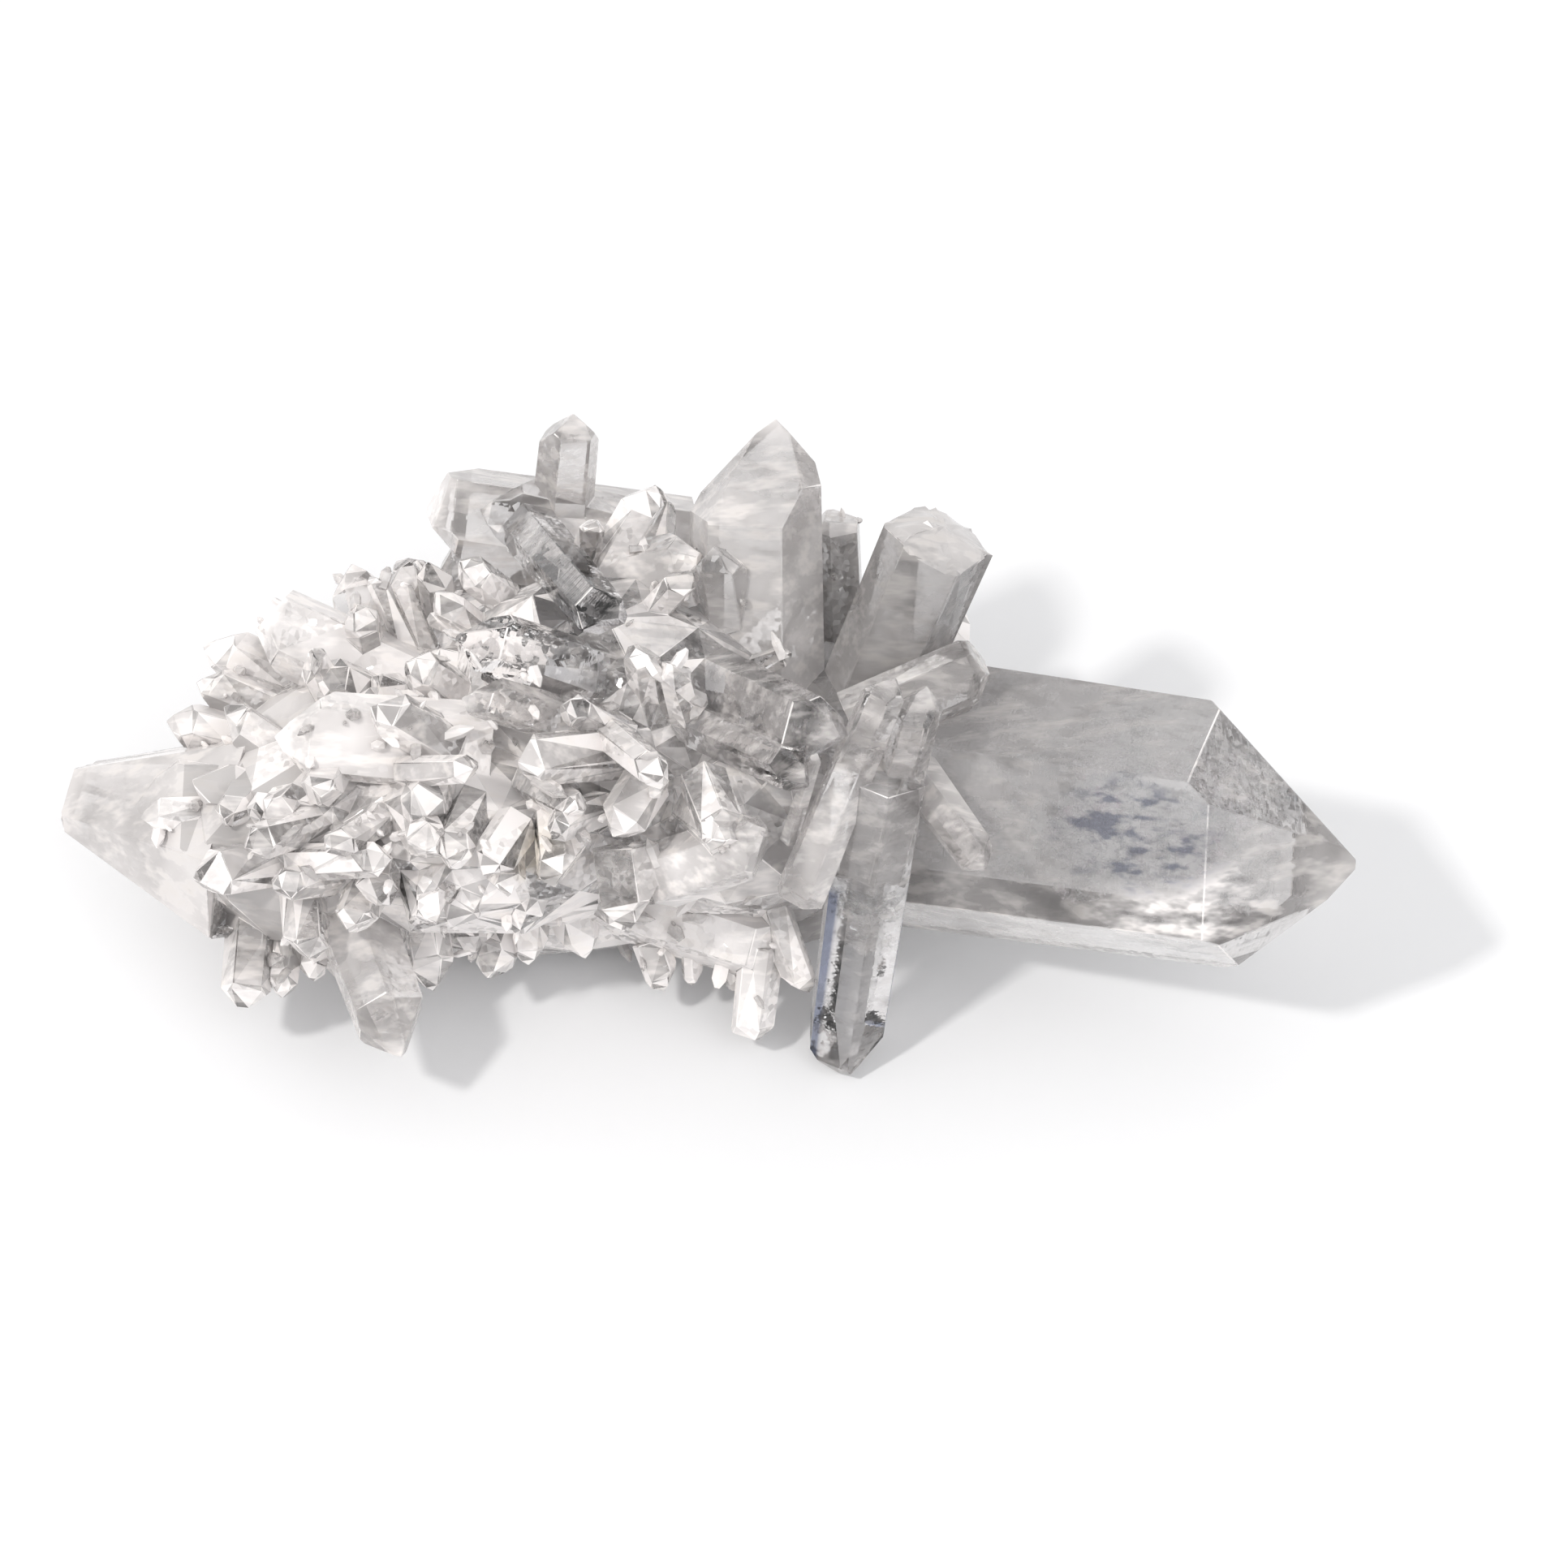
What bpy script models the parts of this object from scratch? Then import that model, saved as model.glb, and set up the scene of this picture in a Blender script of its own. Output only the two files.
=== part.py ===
"""Quartz crystal cluster: one natural specimen, grown as one piece.

A long hexagonal point lies to the right, a second point ends on the left, and a crowd of smaller
points fans out from the mass between them. Every crystal is a six-sided prism under six sloping
end faces, and all of them are joined in one solid whose underside is broken off flat.

Crystals on the front are laid out as a viewer sees them who looks down at the cluster from the
front: right across the view, up the view, and the height above the surface it lies on.
"""

import math
import random
from collections import namedtuple

import bmesh
import bpy
from mathutils import Matrix, Vector

# Driving dimensions, millimetres and degrees
MM = 0.001
VIEW_TILT = math.radians(50.0)  # how far above the horizon the viewer's eye is
LAYOUT_HEIGHT = 24.0  # height at which "up the view" is zero over the middle of the cluster
BLANK = 240.0  # block each crystal is cut from

END_TILT = math.radians(51.8)  # between a crystal's long axis and the normal of an end face
FACE_SPREAD = 0.12  # unevenness of the distances of the six side faces
APEX_SPREAD = 0.16  # how far a tip strays from the middle, in widths
SMALL_FACE_DROP = 0.16  # how far the three lesser end faces stand back, in widths
ROUGH_FROM = 0.5  # a crystal that has lost this much ends in a rough break

MAIN_FACES = (9.5, 11.7, 11.7, 9.5, 11.9, 11.4)  # front, under, lower back, back, upper back, top
MAIN_APEX_DROP = 2.2  # how far its tip lies below the middle of the crystal
MAIN_FACE_DROPS = (0.0, 1.6, 0.0, 1.0, 2.4, 2.8)  # how far each end face stands out past the tip

# lost: length of tip broken off, in widths; lean: degrees that each side face leans in
Crystal = namedtuple("Crystal", "root tip width thick roll lost lean", defaults=(0.0, 0.9))


def seen(right, up, height):
    """World position of a point at a height, placed where the viewer sees it."""
    back = up / math.sin(VIEW_TILT) - (height - LAYOUT_HEIGHT) / math.tan(VIEW_TILT)
    return Vector((right, back, height))


def far(across, back, height):
    """World position of a point on the side the viewer does not see."""
    return Vector((across, back, height))


MAIN = Crystal(seen(5.0, -2.7, 15.0), seen(59.6, -10.3, 25.4), 22.8, 1.0, 17.0)

# Long crystal that leans on the ground in front, with its upper half and its neighbours
LEANING = (
    Crystal(seen(16.6, -3.0, 33.0), seen(12.9, -30.4, -0.3), 8.3, 0.9, 22.0),
    Crystal(seen(15.3, -12.5, 20.0), seen(19.9, 5.0, 40.5), 5.6, 0.9, 10.0),
    Crystal(seen(8.8, -14.4, 22.0), seen(17.2, 6.0, 43.0), 5.2, 0.8, -14.0),
    Crystal(seen(7.9, -9.0, 25.0), seen(10.4, -1.0, 37.0), 1.9, 1.0, 30.0),
    Crystal(seen(18.0, -0.8, 27.0), seen(26.1, -12.0, 28.5), 4.4, 0.9, 18.0),
    Crystal(seen(13.6, 1.6, 29.0), seen(26.0, 7.2, 33.0), 6.4, 0.9, 6.0, 0.28),
    Crystal(seen(20.0, 7.0, 25.0), seen(25.5, 8.6, 30.0), 3.2, 1.0, 20.0),
)

# Tall crystals along the top edge
UPPER = (
    Crystal(seen(4.6, 4.5, 24.0), seen(4.6, 29.8, 45.0), 12.6, 0.9, -12.0),
    Crystal(seen(2.2, 10.0, 30.0), seen(0.9, 18.6, 41.0), 5.8, 0.9, -8.0),
    Crystal(seen(12.4, 6.0, 20.0), seen(11.9, 21.2, 35.0), 5.6, 1.0, 24.0, 0.28),
    Crystal(seen(15.6, 3.6, 24.0), seen(22.0, 19.4, 41.0), 10.8, 0.9, 4.0, 0.6),
    Crystal(seen(-2.0, 18.0, 22.0), seen(-26.6, 21.6, 27.0), 10.6, 0.9, 12.0, 0.14),
    Crystal(seen(-8.4, 19.8, 26.0), seen(-21.4, 22.8, 31.5), 7.2, 0.9, -6.0),
    Crystal(seen(-13.8, 20.4, 27.0), seen(-12.5, 31.2, 40.5), 6.2, 0.9, 16.0),
    Crystal(seen(-16.9, 20.4, 29.5), seen(-8.7, 11.0, 45.0), 6.2, 0.9, 6.0),
    Crystal(seen(-9.4, 16.2, 34.0), seen(-4.9, 23.9, 42.0), 4.2, 0.9, 20.0),
    Crystal(seen(-11.2, 17.0, 35.0), seen(-10.2, 20.8, 41.0), 2.7, 1.0, 0.0),
    Crystal(seen(-12.0, 14.0, 30.0), seen(-0.4, 16.4, 37.0), 8.0, 0.7, -4.0, 0.28),
)

# Clear crystals that fan out to the right over the root of the main point
RIGHT_FAN = (
    Crystal(seen(-2.0, 7.0, 28.0), seen(11.8, 0.2, 39.5), 7.4, 0.9, 14.0),
    Crystal(seen(-2.5, 2.6, 29.0), seen(9.4, -3.1, 38.0), 5.0, 0.9, -12.0),
    Crystal(seen(0.5, 3.2, 30.0), seen(8.6, 4.6, 38.5), 3.6, 1.0, 26.0),
    Crystal(seen(-3.6, -12.2, 22.0), seen(6.8, -8.6, 33.0), 6.6, 0.9, 8.0),
    Crystal(seen(-1.0, -6.0, 28.0), seen(2.8, -9.6, 33.0), 4.6, 1.0, 20.0),
)

# Crystals of the left end
LEFT_END = (
    Crystal(seen(-43.0, -8.2, 16.0), seen(-59.2, -4.7, 15.0), 21.8, 0.9, 20.0, 0.35, 20.0),
    Crystal(seen(-34.0, -8.6, 16.0), seen(-54.0, -8.2, 16.0), 17.0, 0.9, 20.0),
    Crystal(seen(-40.0, 3.0, 20.0), seen(-47.9, 6.0, 23.5), 5.0, 0.9, 6.0),
    Crystal(seen(-42.0, 0.0, 19.0), seen(-50.6, 2.2, 22.0), 4.8, 0.9, 12.0),
    Crystal(seen(-39.0, 5.8, 20.0), seen(-47.2, 9.6, 24.5), 5.4, 0.9, -10.0),
    Crystal(seen(-28.0, 4.8, 23.0), seen(-41.6, 11.2, 28.0), 8.4, 0.9, 10.0, 0.28),
    Crystal(seen(-38.6, -2.0, 23.0), seen(-45.2, 2.8, 27.0), 4.4, 0.8, 24.0),
    Crystal(seen(-19.8, -0.4, 29.0), seen(-39.6, 1.2, 32.0), 8.8, 0.7, -8.0),
    Crystal(seen(-23.4, -0.6, 30.0), seen(-30.4, 3.6, 37.0), 4.6, 0.9, 12.0),
    Crystal(seen(-27.6, -2.7, 30.0), seen(-20.8, -2.4, 36.5), 2.9, 1.0, 0.0),
    Crystal(seen(-31.6, 7.8, 25.0), seen(-32.4, 12.6, 32.0), 3.8, 1.0, 18.0),
    Crystal(seen(-27.2, 7.4, 24.0), seen(-31.2, 15.8, 30.5), 2.4, 0.8, 6.0),
    Crystal(seen(-25.6, 8.0, 24.0), seen(-28.8, 15.4, 31.0), 2.2, 0.8, -10.0),
    Crystal(seen(-32.0, 9.4, 21.0), seen(-33.4, 17.0, 27.0), 5.0, 0.9, 14.0),
    Crystal(seen(-28.6, 10.0, 21.0), seen(-28.6, 17.1, 28.0), 4.2, 0.9, -18.0),
    Crystal(seen(-24.8, 11.6, 23.0), seen(-25.6, 16.9, 30.0), 3.4, 1.0, 4.0),
    Crystal(seen(-22.4, 13.0, 20.0), seen(-23.8, 18.6, 27.0), 4.6, 0.9, 10.0),
    Crystal(seen(-40.6, -5.6, 22.0), seen(-47.2, -3.4, 26.0), 4.8, 0.9, -14.0),
    Crystal(seen(-38.8, -11.0, 20.0), seen(-47.0, -12.6, 23.0), 5.0, 0.9, 18.0),
    Crystal(seen(-34.4, -6.6, 24.0), seen(-42.0, -9.6, 28.5), 3.8, 1.0, 6.0),
)

# Crystals along the lower left edge
LOWER_LEFT = (
    Crystal(seen(-33.6, -14.4, 15.0), seen(-27.9, -28.6, 11.5), 7.4, 0.9, 16.0),
    Crystal(seen(-42.4, -14.0, 11.0), seen(-43.0, -24.2, 9.5), 5.2, 0.9, -6.0, 0.28),
    Crystal(seen(-38.8, -14.4, 11.0), seen(-39.7, -23.9, 9.0), 3.5, 1.0, 12.0),
    Crystal(seen(-36.2, -14.4, 11.0), seen(-36.7, -22.4, 9.5), 3.3, 1.0, 24.0),
    Crystal(seen(-38.0, -11.2, 23.0), seen(-28.8, -10.8, 28.5), 3.4, 0.9, 4.0),
    Crystal(seen(-37.4, -13.0, 19.0), seen(-36.6, -19.6, 18.5), 4.8, 0.9, -12.0, 0.28),
    Crystal(seen(-26.6, -15.8, 12.0), seen(-25.4, -23.3, 7.5), 4.9, 0.8, 8.0),
    Crystal(seen(-29.4, -6.8, 26.0), seen(-34.0, -9.8, 30.5), 3.2, 1.0, 20.0),
    Crystal(seen(-28.0, -10.4, 22.0), seen(-24.4, -16.6, 22.5), 4.4, 0.9, -10.0),
    Crystal(seen(-31.0, -13.0, 20.0), seen(-32.6, -17.6, 21.0), 4.0, 1.0, 6.0),
)

# Packed crystals on the steep front of the left half
FRONT_LEFT = (
    Crystal(seen(-33.2, 1.1, 25.0), seen(-35.5, -5.3, 30.5), 4.6, 0.9, 14.0),
    Crystal(seen(-23.3, 1.1, 26.0), seen(-26.4, -7.2, 30.5), 5.0, 0.9, -6.0),
    Crystal(seen(-29.4, -3.4, 25.0), seen(-24.8, -10.2, 29.5), 4.6, 0.9, 10.0),
    Crystal(seen(-40.8, -1.1, 22.0), seen(-43.8, -7.2, 26.5), 4.3, 0.9, 22.0),
    Crystal(seen(-34.0, -12.5, 20.0), seen(-39.2, -13.3, 25.5), 3.6, 1.0, 4.0),
    Crystal(seen(-20.3, -3.4, 26.0), seen(-23.3, -11.0, 29.5), 4.3, 0.9, 12.0),
    Crystal(seen(-37.0, -3.4, 23.0), seen(-40.0, -7.2, 28.0), 3.8, 1.0, -14.0),
    Crystal(seen(-16.5, -3.4, 28.0), seen(-11.2, -6.4, 34.0), 3.6, 0.9, 6.0),
    Crystal(seen(-45.0, -4.0, 18.0), seen(-50.0, -9.5, 20.0), 4.2, 0.9, 10.0),
    Crystal(seen(-30.0, -9.0, 22.0), seen(-30.0, -14.6, 25.0), 4.4, 0.9, 2.0),
    Crystal(seen(-18.6, -8.0, 25.0), seen(-18.0, -14.4, 24.0), 3.8, 0.9, -8.0),
)

# Crystals of the middle, between the left end and the fan
MIDDLE = (
    Crystal(seen(-6.6, 4.6, 32.0), seen(-22.4, 9.9, 41.0), 6.6, 0.9, 10.0),
    Crystal(seen(-9.6, 0.8, 31.0), seen(-21.9, 4.6, 38.0), 4.7, 0.9, -6.0),
    Crystal(seen(-5.8, -0.8, 30.0), seen(-16.2, -1.8, 37.0), 5.0, 0.95, 14.0, 0.28),
    Crystal(seen(-7.4, 0.8, 32.0), seen(-12.8, 3.5, 38.5), 3.6, 1.0, 20.0),
    Crystal(seen(-17.0, -7.4, 28.0), seen(-20.4, -12.6, 27.5), 4.6, 0.9, 4.0),
    Crystal(seen(-13.4, -6.6, 28.0), seen(-12.8, -13.4, 26.0), 5.2, 0.9, 16.0),
    Crystal(seen(-20.2, -11.0, 22.0), seen(-23.4, -17.2, 19.0), 4.2, 0.9, -12.0),
    Crystal(seen(-15.6, -12.4, 20.0), seen(-17.2, -17.9, 16.0), 3.9, 1.0, 24.0),
    Crystal(seen(-5.2, -3.6, 31.0), seen(-8.4, -8.8, 31.5), 4.7, 0.9, 2.0),
    Crystal(seen(0.0, -3.4, 31.0), seen(2.4, -9.4, 32.5), 4.9, 0.9, 12.0),
    Crystal(seen(-9.0, 1.0, 33.0), seen(-3.8, -3.3, 39.5), 3.9, 1.0, -16.0),
    Crystal(seen(-5.2, 3.4, 32.0), seen(-5.8, 8.8, 40.5), 3.8, 1.0, 10.0),
    Crystal(seen(-1.6, 2.6, 32.0), seen(-2.8, 7.3, 39.5), 3.5, 1.0, 22.0),
    Crystal(seen(-18.6, 13.2, 31.0), seen(-22.6, 16.4, 37.5), 3.7, 1.0, 8.0),
    Crystal(seen(-21.0, 10.2, 29.0), seen(-24.8, 13.4, 35.5), 3.5, 1.0, -8.0),
    Crystal(seen(-22.6, 4.2, 29.0), seen(-27.2, 7.3, 35.5), 4.0, 0.9, 14.0),
    Crystal(seen(-30.8, 4.2, 25.0), seen(-36.2, 6.6, 30.0), 4.2, 0.9, 18.0),
    Crystal(seen(-7.2, -9.6, 25.0), seen(-6.2, -17.2, 19.5), 6.4, 0.8, 28.0),
    Crystal(seen(-9.4, -6.0, 29.0), seen(-14.2, -8.0, 33.0), 3.6, 1.0, 6.0),
)

# Crystals along the lower middle edge
LOWER_MIDDLE = (
    Crystal(seen(-12.6, -12.8, 11.0), seen(9.8, -20.0, 9.0), 8.6, 0.9, 12.0),
    Crystal(seen(-5.2, -18.6, 8.0), seen(-3.5, -23.3, 4.5), 3.5, 1.0, 6.0),
    Crystal(seen(-1.4, -18.8, 8.0), seen(-1.2, -22.8, 5.0), 2.2, 1.0, 18.0),
    Crystal(seen(1.2, -19.4, 8.0), seen(3.0, -23.2, 5.0), 2.1, 1.0, 0.0),
    Crystal(seen(5.4, -19.0, 10.0), seen(4.4, -27.6, 3.0), 4.5, 1.0, 12.0, 0.28),
    Crystal(seen(5.0, -11.8, 15.0), seen(9.4, -23.6, 8.0), 3.5, 0.9, -8.0),
    Crystal(seen(-21.2, -14.6, 12.0), seen(-21.8, -20.2, 8.5), 3.9, 1.0, 20.0),
    Crystal(seen(-16.6, -15.0, 12.0), seen(-16.3, -20.9, 8.0), 3.5, 1.0, 8.0),
    Crystal(seen(-12.8, -14.6, 12.0), seen(-11.2, -20.2, 8.0), 4.6, 0.9, -4.0),
)

# Crystals that only a walk round the cluster shows
BEHIND = (
    Crystal(far(-12.0, 12.0, 14.0), far(-18.0, 29.5, 19.0), 8.4, 0.9, 10.0),
    Crystal(far(0.0, 10.0, 13.0), far(3.0, 26.0, 17.0), 7.2, 0.9, 24.0),
    Crystal(far(-24.0, 8.0, 12.0), far(-35.0, 24.0, 15.0), 7.0, 0.9, 4.0),
    Crystal(far(12.0, 6.0, 13.0), far(25.0, 21.0, 18.5), 6.4, 0.9, 14.0),
    Crystal(far(-32.0, 4.0, 12.0), far(-48.0, 14.0, 12.5), 6.0, 0.9, -12.0),
    Crystal(far(-6.0, 12.0, 22.0), far(-5.0, 26.0, 31.0), 5.4, 0.9, 6.0),
    Crystal(far(4.0, 10.0, 24.0), far(13.0, 22.0, 31.0), 5.0, 0.9, 20.0),
    Crystal(far(-20.0, 10.0, 20.0), far(-29.0, 24.0, 22.5), 5.2, 0.9, 0.0),
)

# Rounded mass between the crystals: middle and half sizes across, back and up
CORES = (
    ((-14.0, 3.0, 13.5), (24.0, 15.0, 16.5)),
    ((-32.0, 2.0, 13.0), (16.0, 12.5, 14.5)),
    ((5.0, 1.0, 13.5), (16.0, 13.0, 16.5)),
    ((-9.0, 4.0, 25.0), (16.0, 12.0, 12.5)),
    ((-17.0, -3.8, 10.5), (20.0, 8.0, 10.5)),
    ((-22.0, -6.5, 19.5), (18.5, 10.0, 9.5)),
    ((2.0, -5.0, 18.0), (11.0, 9.0, 10.0)),
    ((-36.5, -5.0, 17.0), (12.5, 10.0, 11.0)),
    ((-20.0, 14.0, 15.0), (13.0, 9.0, 11.0)),
)
CORE_ROUGHNESS = 0.08
WELD = 0.004  # points closer than this are one point

# Seeded crowd of small crystals over the mass: counts, lengths and widths
CROWD_SEED = 41
CROWD_COUNT = 84
CROWD_LENGTH = (2.0, 5.0)
CROWD_WIDTH = (2.2, 4.4)
CROWD_ROOT_DEPTH = 4.0
CROWD_WANDER = 0.35
CROWD_LOWEST = 4.0


def cut_by(bm, point, normal):
    """Cut away everything on the side a plane's normal points to, and close the cut."""
    geometry = bm.verts[:] + bm.edges[:] + bm.faces[:]
    cut = bmesh.ops.bisect_plane(
        bm, geom=geometry, dist=1e-7, plane_co=point, plane_no=normal, clear_outer=True
    )
    rim = [item for item in cut["geom_cut"] if isinstance(item, bmesh.types.BMEdge)]
    if len(rim) > 2:
        bmesh.ops.contextual_create(bm, geom=rim)


def across_axis(axis, roll):
    """A direction square to the axis, turned by the roll from the one that faces the viewer."""
    near = Vector((0.0, -math.cos(VIEW_TILT), math.sin(VIEW_TILT)))
    facing = near - axis * near.dot(axis)
    if facing.length < 0.15:
        facing = Vector((1.0, 0.0, 0.0)) - axis * axis.x
    return Matrix.Rotation(math.radians(roll), 3, axis) @ facing.normalized()


def grow(whole, crystal, rng, faces=None):
    """Cut one crystal from a block and add it to the whole."""
    axis = (crystal.tip - crystal.root).normalized()
    facing = across_axis(axis, crystal.roll)
    width = crystal.width
    reach = 0.433 * width
    bm = bmesh.new()
    bmesh.ops.create_cube(bm, size=BLANK, matrix=Matrix.Translation(crystal.root))
    cut_by(bm, crystal.root, -axis)
    stray = facing * rng.uniform(-1.0, 1.0) + axis.cross(facing) * rng.uniform(-1.0, 1.0)
    apex = crystal.tip + axis * crystal.lost * width + stray * APEX_SPREAD * width
    drops = [rng.uniform(0.3, 1.0) * SMALL_FACE_DROP * width * (side % 2) for side in range(6)]
    if faces:
        apex = crystal.tip + axis.cross(facing) * MAIN_APEX_DROP
        drops = MAIN_FACE_DROPS
    for side in range(6):
        outward = Matrix.Rotation(math.radians(60.0 * side), 3, axis) @ facing
        distance = reach * rng.uniform(1.0 - FACE_SPREAD, 1.0 + FACE_SPREAD)
        if side % 3 == 0:
            distance *= crystal.thick
        if faces:
            distance = faces[side]
        lean = Matrix.Rotation(-math.radians(crystal.lean), 3, axis.cross(outward)) @ outward
        cut_by(bm, crystal.root + outward * distance, lean)
    for side in range(6):
        outward = Matrix.Rotation(math.radians(60.0 * side), 3, axis) @ facing
        slope = outward * math.sin(END_TILT) + axis * math.cos(END_TILT)
        cut_by(bm, apex + axis * drops[side], slope)
    if 0.0 < crystal.lost < ROUGH_FROM:
        tilt = axis + stray * 0.35
        cut_by(bm, crystal.tip, tilt.normalized())
    if crystal.lost >= ROUGH_FROM:
        for turn in (20.0, 140.0, 260.0):
            sideways = Matrix.Rotation(math.radians(turn), 3, axis) @ facing
            tilt = axis + sideways * rng.uniform(0.15, 0.5)
            cut_by(bm, crystal.tip + sideways * 0.1 * width, tilt.normalized())
    bmesh.ops.recalc_face_normals(bm, faces=bm.faces[:])
    shell = bpy.data.meshes.new("crystal")
    bm.to_mesh(shell)
    bm.free()
    whole.from_mesh(shell)
    bpy.data.meshes.remove(shell)


def add_core(whole, middle, sizes, rng):
    """Add one rough rounded lump of the mass the crystals stand on."""
    bm = bmesh.new()
    bmesh.ops.create_icosphere(bm, subdivisions=2, radius=1.0)
    for vert in bm.verts:
        vert.co *= 1.0 + rng.uniform(-CORE_ROUGHNESS, CORE_ROUGHNESS)
        vert.co = Vector([vert.co[i] * sizes[i] + middle[i] for i in range(3)])
    shell = bpy.data.meshes.new("core")
    bm.to_mesh(shell)
    bm.free()
    whole.from_mesh(shell)
    bpy.data.meshes.remove(shell)


def add_crowd(whole, rng):
    """Grow small crystals outwards from spots spread over the mass."""
    golden = math.pi * (3.0 - math.sqrt(5.0))
    for number in range(CROWD_COUNT):
        middle, sizes = CORES[number % len(CORES)]
        rise = 1.0 - 2.0 * (number + 0.5) / CROWD_COUNT
        flat = math.sqrt(1.0 - rise * rise)
        turn = golden * number + rng.uniform(-0.4, 0.4)
        outward = Vector((flat * math.cos(turn), flat * math.sin(turn), rise))
        spot = Vector([outward[i] * sizes[i] + middle[i] for i in range(3)])
        wander = Vector([rng.uniform(-CROWD_WANDER, CROWD_WANDER) for _ in range(3)])
        axis = (outward + wander).normalized()
        length = rng.uniform(*CROWD_LENGTH)
        width = rng.uniform(*CROWD_WIDTH)
        root = spot - axis * CROWD_ROOT_DEPTH
        tip = spot + axis * length
        if min(tip.z, spot.z) > CROWD_LOWEST:
            grow(whole, Crystal(root, tip, width, 1.0, rng.uniform(0.0, 60.0)), rng)


def add_material(thing):
    """Pale grey glassy quartz."""
    material = bpy.data.materials.new("quartz")
    material.use_nodes = True
    shader = material.node_tree.nodes["Principled BSDF"]
    shader.inputs["Base Color"].default_value = (0.60, 0.59, 0.58, 1.0)
    shader.inputs["Roughness"].default_value = 0.16
    shader.inputs["Metallic"].default_value = 0.0
    thing.data.materials.append(material)


def add_box(name, low, high):
    """Make a hidden cutting box between two corners."""
    low = Vector(low)
    high = Vector(high)
    bpy.ops.mesh.primitive_cube_add(size=1.0, location=(low + high) / 2.0)
    box = bpy.context.object
    box.name = name
    box.scale = high - low
    bpy.ops.object.transform_apply(location=True, rotation=False, scale=True)
    box.hide_render = True
    box.display_type = "WIRE"
    return box


def keep_outside(cluster):
    """Weld points that all but touch, drop sealed hollows, and put the base's middle at zero."""
    bm = bmesh.new()
    bm.from_mesh(cluster.data)
    bmesh.ops.triangulate(bm, faces=bm.faces[:])
    bmesh.ops.remove_doubles(bm, verts=bm.verts[:], dist=WELD * MM)
    waiting = set(bm.faces)
    shells = []
    while waiting:
        shell = [waiting.pop()]
        for face in shell:
            for edge in face.edges:
                beside = [other for other in edge.link_faces if other in waiting]
                waiting.difference_update(beside)
                shell.extend(beside)
        shells.append(shell)
    shells.sort(key=len)
    for shell in shells[:-1]:
        bmesh.ops.delete(bm, geom=shell, context="FACES")
    low = [min(vert.co[i] for vert in bm.verts) for i in range(3)]
    high = [max(vert.co[i] for vert in bm.verts) for i in range(3)]
    centre = Vector(((low[0] + high[0]) / 2.0, (low[1] + high[1]) / 2.0, low[2]))
    bmesh.ops.translate(bm, vec=-centre, verts=bm.verts[:])
    bm.to_mesh(cluster.data)
    bm.free()


def make_cluster():
    """Grow every crystal into one mesh, then join and trim it."""
    rng = random.Random(CROWD_SEED)
    whole = bmesh.new()
    for middle, sizes in CORES:
        add_core(whole, middle, sizes, rng)
    grow(whole, MAIN, rng, MAIN_FACES)
    groups = (LEANING, UPPER, RIGHT_FAN, LEFT_END, LOWER_LEFT, FRONT_LEFT, MIDDLE, LOWER_MIDDLE)
    for group in groups + (BEHIND,):
        for crystal in group:
            grow(whole, crystal, rng)
    add_crowd(whole, rng)
    bmesh.ops.scale(whole, vec=(MM, MM, MM), verts=whole.verts[:])
    mesh = bpy.data.meshes.new("quartz_cluster")
    whole.to_mesh(mesh)
    whole.free()
    cluster = bpy.data.objects.new("quartz_cluster", mesh)
    bpy.context.collection.objects.link(cluster)
    add_material(cluster)
    under = add_box("underside_cut", (-0.12, -0.12, -0.06), (0.12, 0.12, 0.0))
    join = cluster.modifiers.new("join_and_trim", "BOOLEAN")
    join.operation = "DIFFERENCE"
    join.object = under
    join.solver = "EXACT"
    join.use_self = True
    bpy.context.view_layer.objects.active = cluster
    bpy.ops.object.modifier_apply(modifier="join_and_trim")
    bpy.data.objects.remove(under, do_unlink=True)
    keep_outside(cluster)


def main():
    """Build the cluster in an empty scene."""
    for thing in list(bpy.data.objects):
        bpy.data.objects.remove(thing, do_unlink=True)
    make_cluster()


main()
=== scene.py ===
"""Looks of the quartz crystal cluster: clear and milky crystals, tiny ones, inner veils."""

import math
import random

import bpy
from mathutils import Matrix, Vector, noise
from mathutils.geometry import intersect_point_line


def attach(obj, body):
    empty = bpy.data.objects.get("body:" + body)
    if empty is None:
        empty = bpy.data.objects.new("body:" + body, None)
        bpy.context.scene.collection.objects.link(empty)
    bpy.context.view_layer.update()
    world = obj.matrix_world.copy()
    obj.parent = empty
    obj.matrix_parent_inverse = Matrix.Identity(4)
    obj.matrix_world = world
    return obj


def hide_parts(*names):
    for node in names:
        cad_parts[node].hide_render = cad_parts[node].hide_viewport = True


# Layout, millimetres and degrees, as the viewer of the photograph sees it
MM = 0.001
VIEW_TILT = math.radians(50.0)
LAYOUT_HEIGHT = 24.0
FRAME_SHIFT = Vector((0.28, -1.81, 0.0))
PICTURE_MIDDLE = (7.4, -3.9)
PICTURE_WIDTH = 146.4
LENS = 200.0
SENSOR = 36.0

RIGHT = Vector((1.0, 0.0, 0.0))
UP = Vector((0.0, math.sin(VIEW_TILT), math.cos(VIEW_TILT)))
NEAR = Vector((0.0, -math.cos(VIEW_TILT), math.sin(VIEW_TILT)))

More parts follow.
